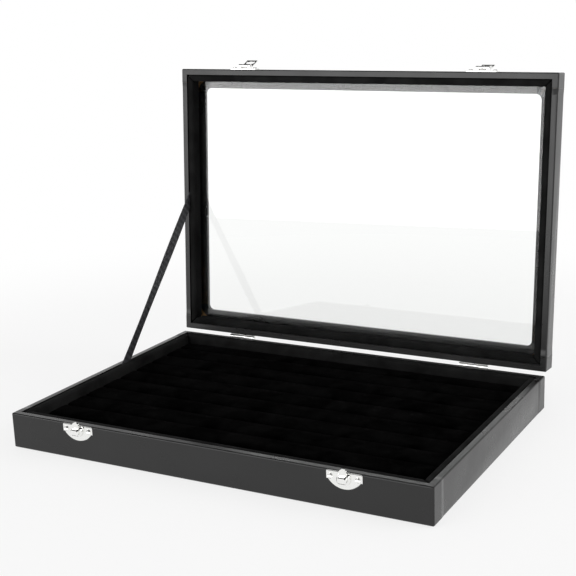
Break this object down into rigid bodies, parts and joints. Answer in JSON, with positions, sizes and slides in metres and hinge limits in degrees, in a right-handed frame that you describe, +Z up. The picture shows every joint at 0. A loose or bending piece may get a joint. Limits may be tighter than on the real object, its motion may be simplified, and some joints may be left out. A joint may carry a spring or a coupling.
{
  "type": "ring display box",
  "caption": "Shallow leatherette box with a velvet slotted ring pad, a hinged glass lid, a stay strap and two snap latches on the front.",
  "frame": {"origin": "centre of the underside of the base, on the surface it rests on", "axes": "+X along the box to the right seen from the latches, +Y from the latches to the hinges, +Z up; the lid is stored open"},
  "size_m": [0.35, 0.2861, 0.2765],
  "materials": {
    "leatherette": "black PU leatherette, fine grain, semi-matt",
    "lining_velvet": "black velvet over padded card",
    "pad_velvet": "black velvet over foam",
    "fibreboard": "raw medium-density fibreboard",
    "card": "grey board",
    "clear_glass": "clear float glass",
    "nickel_plate": "bright nickel-plated steel stampings",
    "strap_ribbon": "black woven ribbon"
  },
  "bodies": {
    "base": {"base_board_back": "fibreboard", "base_board_front": "fibreboard", "base_board_left": "fibreboard", "base_board_right": "fibreboard", "base_floor_board": "fibreboard", "base_hinge_leaf_left": "nickel_plate", "base_hinge_leaf_right": "nickel_plate", "base_hinge_screws": "nickel_plate", "base_leatherette_back": "leatherette", "base_leatherette_front": "leatherette", "base_leatherette_left": "leatherette", "base_leatherette_right": "leatherette", "base_lining_back": "lining_velvet", "base_lining_front": "lining_velvet", "base_lining_left": "lining_velvet", "base_lining_right": "lining_velvet", "bottom_cover": "leatherette", "catch_plate_left": "nickel_plate", "catch_plate_right": "nickel_plate", "catch_screws": "nickel_plate", "hinge_pin_left": "nickel_plate", "hinge_pin_right": "nickel_plate", "pad_bar_01": "pad_velvet", "pad_bar_02": "pad_velvet", "pad_bar_03": "pad_velvet", "pad_bar_04": "pad_velvet", "pad_bar_05": "pad_velvet", "pad_bar_06": "pad_velvet", "pad_bar_07": "pad_velvet", "pad_bar_08": "pad_velvet", "pad_bar_09": "pad_velvet", "pad_bar_10": "pad_velvet", "pad_card": "card"},
    "lid": {"latch_pin_left": "nickel_plate", "latch_pin_right": "nickel_plate", "lid_board_back": "fibreboard", "lid_board_front": "fibreboard", "lid_board_left": "fibreboard", "lid_board_right": "fibreboard", "lid_glass": "clear_glass", "lid_hinge_leaf_left": "nickel_plate", "lid_hinge_leaf_right": "nickel_plate", "lid_hinge_screws": "nickel_plate", "lid_latch_plate_left": "nickel_plate", "lid_latch_plate_right": "nickel_plate", "lid_latch_screws": "nickel_plate", "lid_leatherette_back": "leatherette", "lid_leatherette_front": "leatherette", "lid_leatherette_left": "leatherette", "lid_leatherette_right": "leatherette", "lid_lining_back": "lining_velvet", "lid_lining_front": "lining_velvet", "lid_lining_left": "lining_velvet", "lid_lining_right": "lining_velvet", "lid_top_panel": "fibreboard", "stay_strap": "strap_ribbon"},
    "latch_tab_left": {"latch_tab_left": "nickel_plate"},
    "latch_tab_right": {"latch_tab_right": "nickel_plate"}
  },
  "joints": [
    {"name": "lid_hinge", "type": "hinge", "parent": "base", "child": "lid", "pos_m": [0, 0.122, 0.02855], "axis": [1, 0, 0], "range_deg": [0, 94.3], "deforming": ["stay_strap"]},
    {"name": "latch_tab_left_hinge", "type": "hinge", "parent": "lid", "child": "latch_tab_left", "pos_m": [-0.111, 0.14521, 0.2725], "axis": [1, 0, 0], "range_deg": [-15, 156]},
    {"name": "latch_tab_right_hinge", "type": "hinge", "parent": "lid", "child": "latch_tab_right", "pos_m": [0.111, 0.14521, 0.2725], "axis": [1, 0, 0], "range_deg": [-5, 166]}
  ]
}
